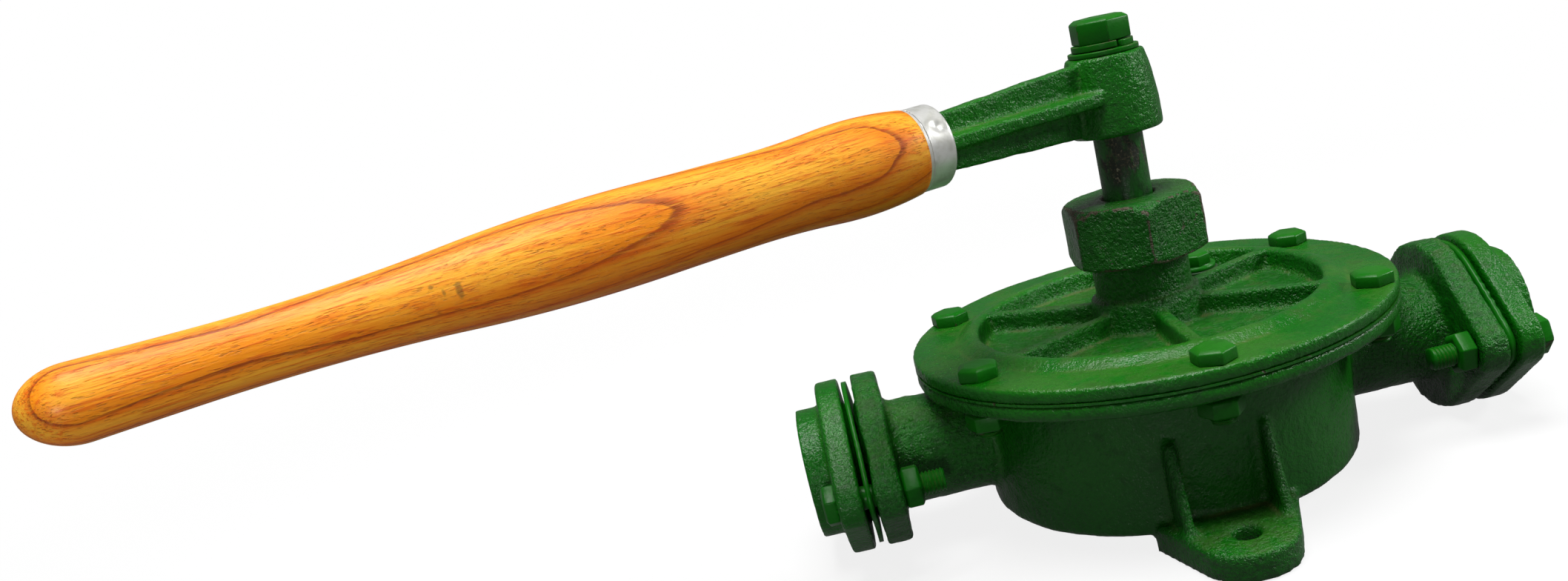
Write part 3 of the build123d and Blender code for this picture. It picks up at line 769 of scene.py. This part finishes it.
# Bolt, washers and shaft at the lever's boss
leverBolt = {"flats": 18.0 * mm, "height": 8.0 * mm, "corner": 0.7 * mm, "edge": 0.45 * mm,
             "crown": 8.3 * mm, "turn": 2.5, "shank": 5.9 * mm, "length": 24.0 * mm,
             "overlap": 1.0 * mm}
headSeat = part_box("lever_bolt")[1].z - leverBolt["height"]
headPlace = Matrix.Translation((0, 0, headSeat))
headPlace @= Matrix.Rotation(math.radians(leverBolt["turn"]), 4, "Z")
shank = [(leverBolt["shank"], headSeat + leverBolt["overlap"]),
         (leverBolt["shank"], headSeat - leverBolt["length"])]
boltShank = lathe(soften(shank, 0.1 * mm, closed=False), 48, False)
turnedPiece("leverBolt", joined(moved(hexSolid(leverBolt), headPlace), boltShank), "lever",
            "green_paint", paints["fastener"], ["lever_bolt"], reach=0.8)


def washer(inner, outer, low, high, rounding=0.4 * mm, columns=96):
    outline = [(inner, low), (outer, low), (outer, high), (inner, high)]
    return lathe(soften(outline, rounding), columns)


washerLow, washerHigh = (corner.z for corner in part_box("lever_washer"))
flatWasher = {"inner": 6.5 * mm, "outer": 12.0 * mm, "low": washerLow, "high": washerHigh}
turnedPiece("leverWasher", washer(**flatWasher), "lever", "green_paint", paints["fastener"],
            ["lever_washer"])
spring = {"inner": 6.15 * mm, "outer": 10.5 * mm, "cutAt": -70.0, "gap": 10.0, "wireShare": 0.84,
          "rounding": 0.3 * mm, "steps": 72}


def springWasher(low, high):
    # one turn of square wire, cut through, with its ends a little apart
    rings = []
    inner, outer, gap = spring["inner"], spring["outer"], math.radians(spring["gap"])
    thick = (high - low) * spring["wireShare"]
    section = [(inner, 0.0), (outer, 0.0), (outer, thick), (inner, thick)]
    outline = soften(section, spring["rounding"], 3)
    for step in range(spring["steps"] + 1):
        t = step / spring["steps"]
        a = math.radians(spring["cutAt"]) + gap / 2 + (2 * math.pi - gap) * t
        rise = low + (high - low - thick) * t
        rings.append([Vector((r * math.cos(a), r * math.sin(a), rise + h)) for r, h in outline])
    return skin(rings)


turnedPiece("leverSpringWasher", springWasher(washerHigh, headSeat), "lever", "green_paint",
            paints["fastener"], ["lever_spring_washer"])
shaft = {"radius": 8.5 * mm, "seat": 8.0 * mm, "shoulder": 125.8 * mm, "chamfer": 0.5 * mm}
shaftLow, shaftHigh = (corner.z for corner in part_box("shaft"))
shaftOutline = [(shaft["radius"] - shaft["chamfer"], shaftLow),
                (shaft["radius"], shaftLow + shaft["chamfer"]), (shaft["radius"], shaft["shoulder"]),
                (shaft["seat"], shaft["shoulder"]), (shaft["seat"], shaftHigh)]
turnedPiece("pumpShaft", lathe(soften(shaftOutline, 0.3 * mm, closed=False), 72, False), "lever",
            "worn_steel", finishes["shaft"], ["shaft"])

# Priming plug and its washer, in the cover's rear pocket
plugSpot = (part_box("priming_plug")[0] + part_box("priming_plug")[1]) / 2
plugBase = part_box("plug_washer")[1].z
plugPlace = Matrix.Translation((plugSpot.x, plugSpot.y, plugBase))
plug = {"flats": 11.0 * mm, "height": 4.5 * mm, "corner": 0.5 * mm, "edge": 0.3 * mm,
        "crown": 5.1 * mm, "dome": 0.05 * mm, "thread": 4.9 * mm, "threadLength": 6.0 * mm,
        "collar": 7.8 * mm, "collarHeight": 1.6 * mm, "washer": (5.1 * mm, 8.6 * mm),
        "washerHeight": 1.2 * mm}
plugOutline = [(plug["thread"], -plug["threadLength"]), (plug["thread"], 0.0),
               (plug["collar"], 0.0), (plug["collar"], plug["collarHeight"])]
plugCollar = lathe(soften(plugOutline, 0.35 * mm, closed=False), 48, False)
plugHead = moved(hexSolid(plug), Matrix.Translation((0, 0, plug["collarHeight"])))
turnedPiece("primingPlug", moved(joined(plugCollar, plugHead), plugPlace), "pump", "green_paint",
            paints["fastener"], ["priming_plug"])
plugRing = washer(*plug["washer"], -plug["washerHeight"], 0.0, columns=48)
turnedPiece("plugWasher", moved(plugRing, plugPlace), "pump", "gasket_card", finishes["card"],
            ["plug_washer"])

# Gaskets, slightly bowed between the port flanges
portGasket = {"thickness": 1.6 * mm, "bore": 12.6 * mm, "inset": 0.4 * mm, "columns": 120,
              "steps": 8, "bow": 0.3 * mm, "bowAcross": (0.8, 11.0 * mm), "bowUp": (0.4, 13.0 * mm)}


hullFan = np.linspace(-1.45, 1.45, 30)  # radians to either side of a direction


def hullReach(points, aim):
    # how far the convex outline of the points reaches in a direction from its centre
    reaches = []
    for a in hullFan:
        turned = np.array([aim[0] * math.cos(a) - aim[1] * math.sin(a),
                           aim[0] * math.sin(a) + aim[1] * math.cos(a)])
        reaches.append((points @ turned).max() / math.cos(a))
    return min(reaches)


def gasketBow(y, z):
    share, length = portGasket["bowAcross"]
    upShare, upLength = portGasket["bowUp"]
    return portGasket["bow"] * (math.cos(y / length) * share + math.sin(z / upLength) * upShare)


def bowedGasket(node):
    low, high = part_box(node)
    middle = (low + high) / 2
    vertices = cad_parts[node].data.vertices
    points = np.array([(v.co.y - middle.y, v.co.z - middle.z) for v in vertices])
    side = 1 if middle.x > 0 else -1
    turns = [2 * math.pi * c / portGasket["columns"] for c in range(portGasket["columns"])]
    aims = [np.array([math.cos(a), math.sin(a)]) for a in turns]
    reaches = [hullReach(points, aim) - portGasket["inset"] for aim in aims]
    rings = []
    for face in (1, -1):
        sheet = []
        for step in range(portGasket["steps"] + 1):
            share = step / portGasket["steps"]
            ring = []
            for aim, reach in zip(aims, reaches):
                y, z = aim * (reach + (portGasket["bore"] - reach) * share)
                x = middle.x + side * gasketBow(y, z) + face * portGasket["thickness"] / 2
                ring.append(Vector((x, middle.y + y, middle.z + z)))
            sheet.append(ring)
        rings += sheet if face > 0 else sheet[::-1]
    return skin(rings, True)


for end in ("inlet", "outlet"):
    turnedPiece(end + "Gasket", bowedGasket(end + "_gasket"), "pump", "gasket_card",
                paints["fastener"], [end + "_gasket"])

# Handle and ferrule, turned about the arm's line
armLine = (Matrix.Translation((0, 0, wood["axisHeight"]))
           @ Matrix.Rotation(math.radians(wood["armAngle"]), 4, "Z")
           @ Matrix.Rotation(math.radians(90), 4, "Y"))  # its z runs along the arm
# millimetres along the arm, with radii; the knots lie on the turned outline
handle = {"start": 84.0, "end": 320.0, "slope": 0.15, "spigot": 11.7, "spigotLength": 5.7,
          "shoulder": 0.4, "tipRadius": 9.4,
          "knots": [(84.0, 13.4), (114.0, 14.2), (140.0, 13.0), (168.0, 13.35),
                    (224.0, 11.2), (284.0, 8.85), (308.0, 9.4)],
          "columns": 128, "stepsPerArc": 26, "tipFrom": 200.0, "hump": 0.12 * mm,
          "humpsPerMetre": (60, 60, 18), "fade": 5.0 * mm}


def arcChain(knots, slope, steps):
    # arcs through the knots, each starting the way the last one ended
    line = [knots[0]]
    heading = math.atan(slope)
    for (x0, r0), (x1, r1) in zip(knots, knots[1:]):
        chord = math.atan2(r1 - r0, x1 - x0)
        bend = 2 * (chord - heading)
        reach = math.hypot(x1 - x0, r1 - r0)
        for step in range(1, steps + 1):
            part = bend * step / steps
            length = reach * math.sin(part / 2) / math.sin(bend / 2)
            a = heading + part / 2
            line.append((x0 + length * math.cos(a), r0 + length * math.sin(a)))
        heading += bend
    return line


def handleSolid():
    spigot, start = handle["spigot"], handle["start"]
    steps, hump = handle["stepsPerArc"], handle["hump"]
    outline = [(spigot, start - handle["spigotLength"]), (spigot, start - handle["shoulder"])]
    outline += [(r, x) for x, r in arcChain(handle["knots"], handle["slope"], steps)]
    last = handle["knots"][-1][0]
    for step in range(1, steps):
        a = math.radians(90 * step / steps)
        outline.append((handle["tipRadius"] * math.cos(a),
                        last + (handle["end"] - last) * math.sin(a)))
    points, faces = lathe([(r * mm, x * mm) for r, x in outline], handle["columns"], False)
    made = []
    for point in points:
        # turned by hand: shallow humps, all of them inside the outline
        radial = Vector((point.x, point.y, 0))
        if radial.length > (spigot + 0.2) * mm or point.z > handle["tipFrom"] * mm:
            spot = Vector([c * scale for c, scale in zip(point, handle["humpsPerMetre"])])
            sink = (hump * noise.noise(spot) - hump) * min(1.0, radial.length / handle["fade"])
            point = point + radial.normalized() * sink
        made.append(point)
    return made, faces


turnedPiece("turnedHandle", moved(handleSolid(), armLine), "lever", "handle_wood",
            finishes["wood"], ["handle"])
# a drawn cap with a punched dimple; millimetres, and degrees round the arm
ferrule = {"start": 74.0, "end": 84.0, "radius": 13.0, "wall": 1.2, "lip": 10.6, "steps": 24,
           "edge": 0.9, "edgeSteps": 6, "margin": 1.1, "dimple": (78.2, 33.0),
           "dimpleReach": 2.3, "dimpleDepth": 0.75, "dimpleFall": 1.6,
           "wave": 0.07, "wavesPerMetre": 90, "skin": 0.3, "columns": 160}


def ferruleSolid():
    start, end = ferrule["start"], ferrule["end"]
    outer, wall, lip = ferrule["radius"], ferrule["wall"], ferrule["lip"]
    levels = [start + (end - start) * s / ferrule["steps"] for s in range(1, ferrule["steps"])]
    # the corner on the straight side keeps the rounding at the open end small
    corners = [(lip, start), (outer, start), (outer, levels[-1]), (outer, end),
               (outer - wall, end), (outer - wall, start + wall), (lip, start + wall)]
    rounded = soften(corners, ferrule["edge"], ferrule["edgeSteps"])
    side = [(outer, level) for level in levels
            if start + ferrule["margin"] < level < end - ferrule["margin"]]
    split = 2 * (ferrule["edgeSteps"] + 1)
    outline = rounded[:split] + side + rounded[split:]
    points, faces = lathe([(r * mm, x * mm) for r, x in outline], ferrule["columns"])
    # after the quarter turn of the arm's frame, local x points down and y to the near side
    a = math.radians(ferrule["dimple"][1])
    aim = Vector((-math.sin(a), math.cos(a), 0))
    made = []
    for point in points:
        radial = Vector((point.x, point.y, 0))
        if radial.length > (outer - ferrule["skin"]) * mm:
            spot = aim * radial.length + Vector((0, 0, ferrule["dimple"][0] * mm))
            gap = (point - spot).length / (ferrule["dimpleReach"] * mm)
            sink = ferrule["dimpleDepth"] * math.exp(-gap * gap * ferrule["dimpleFall"])
            wave = ferrule["wave"] * (1.0 + noise.noise(point * ferrule["wavesPerMetre"]))
            point = point - radial.normalized() * (sink + wave) * mm
        made.append(point)
    return made, faces


turnedPiece("handleFerrule", moved(ferruleSolid(), armLine), "lever", "ferrule_tin",
            finishes["tin"], ["ferrule"])
print("handle and ferrule turned")

# Nodes of the frame that stay as they are
kept = {"packing": "cord", "lever_key": "steel"}
for node, finish in kept.items():
    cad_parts[node].material_slots[0].material = finishes[finish]
for node in ("gland_follower", "cover_gasket"):
    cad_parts[node].material_slots[0].material = paints["gland"]

# Studio: a pale floor, a big soft light overhead, one on the right and a faint narrow one
# on the handle and the left port. Each light has a place, size, power, aim and spread.
studio = {"floorHalf": 4.0, "floorLevel": -0.3 * mm, "shadowEnds": (0.3, 0.75),
          "floorShade": 0.12, "floorSeen": 0.9, "floorWhite": 0.84, "floorMirror": 0.12,
          "skyShade": 0.1, "skyMirror": 0.16,
          "lights": [("topLight", (-0.1, -0.2, 1.7), 1.0, 32.0, (-0.03, 0.0, 0.08), 180.0),
                     ("rightLight", (1.4, -0.1, 0.8), 0.45, 11.0, (-0.03, 0.0, 0.08), 180.0),
                     ("handleLight", (-0.33, -1.3, 0.2), 0.2, 0.13, (-0.28, -0.1, 0.08), 25.0)]}


def paleStage():
    half, level = studio["floorHalf"], studio["floorLevel"]
    corners = [(x * half, y * half, level) for x, y in ((-1, -1), (1, -1), (1, 1), (-1, 1))]
    floor = plainMesh("floor", corners, [(0, 1, 2, 3)])
    if floor.polygons[0].normal.z < 0:
        floor.flip_normals()
    ground = bpy.data.objects.new("floor", floor)
    bpy.context.scene.collection.objects.link(ground)
    pale = Finish("paleFloor")
    seen = pale.node("ShaderNodeLightPath", output="Is Camera Ray")
    mirrored = pale.node("ShaderNodeLightPath", output="Is Glossy Ray")
    white = pale.node("ShaderNodeEmission", {}, {"Color": (1, 1, 1, 1), "Strength": 1.0})
    bright = pale.node("ShaderNodeBsdfDiffuse", {}, {"Color": (*(studio["floorSeen"],) * 3, 1)})
    dim = pale.node("ShaderNodeBsdfDiffuse", {}, {"Color": (*(studio["floorShade"],) * 3, 1)})
    away = pale.node("ShaderNodeVectorMath", {"operation": "LENGTH"}, {0: pale.place}, "Value")
    far = pale.smooth(away, *studio["shadowEnds"])
    clear = far * (1.0 - studio["floorWhite"]) + studio["floorWhite"]
    shown = pale.node("ShaderNodeMixShader", {}, {0: clear, 1: bright, 2: white})
    glow = mirrored * studio["floorMirror"]
    around = pale.node("ShaderNodeMixShader", {}, {0: glow, 1: dim, 2: white})
    mixed = pale.node("ShaderNodeMixShader", {}, {0: seen, 1: around, 2: shown})
    pale.node("ShaderNodeOutputMaterial", {}, {"Surface": mixed}, None)
    floor.materials.append(pale.material)


def paleSky():
    world = bpy.data.worlds.new("paleSky")
    world.use_nodes = True
    bpy.context.scene.world = world
    sky = NodeSheet()
    sky.tree = world.node_tree
    sky.tree.nodes.clear()
    rays = [sky.node("ShaderNodeLightPath", output=f"Is {kind} Ray")
            for kind in ("Camera", "Transmission")]
    seen = rays[0] + rays[1]
    mirrored = sky.node("ShaderNodeLightPath", output="Is Glossy Ray")
    white = sky.node("ShaderNodeBackground", {}, {
        "Color": (1, 1, 1, 1),
        "Strength": (studio["skyShade"] + seen * (1.0 - studio["skyShade"])
                     + mirrored * (studio["skyMirror"] - studio["skyShade"]))})
    sky.node("ShaderNodeOutputWorld", {}, {"Surface": white}, None)


def softLight(name, spot, size, power, aim, spread):
    light = bpy.data.lights.new(name, "AREA")
    light.shape = "DISK"
    light.size = size
    light.energy = power
    light.spread = math.radians(spread)
    lamp = bpy.data.objects.new(name, light)
    bpy.context.scene.collection.objects.link(lamp)
    lamp.location = spot
    lamp.rotation_euler = (Vector(aim) - Vector(spot)).to_track_quat("-Z", "Y").to_euler()


paleStage()
paleSky()
for light in studio["lights"]:
    softLight(*light)

# Camera, as the photograph was taken
view = {"place": (-0.09923, -0.44637, 0.18832), "turn": (73.08, 11.914, -7.151),
        "lens": 30.3855, "sensor": 36.0, "shift": (-0.10956, 0.05273), "nearest": 10.0 * mm}
lensData = bpy.data.cameras.new("photoCamera")
lensData.sensor_width = view["sensor"]
lensData.lens = view["lens"]
lensData.shift_x, lensData.shift_y = view["shift"]
lensData.clip_start = view["nearest"]
camera = bpy.data.objects.new("photoCamera", lensData)
bpy.context.scene.collection.objects.link(camera)
camera.location = view["place"]
camera.rotation_euler = [math.radians(a) for a in view["turn"]]
bpy.context.scene.camera = camera
bpy.context.scene.view_settings.view_transform = "Standard"
print("studio and camera set")
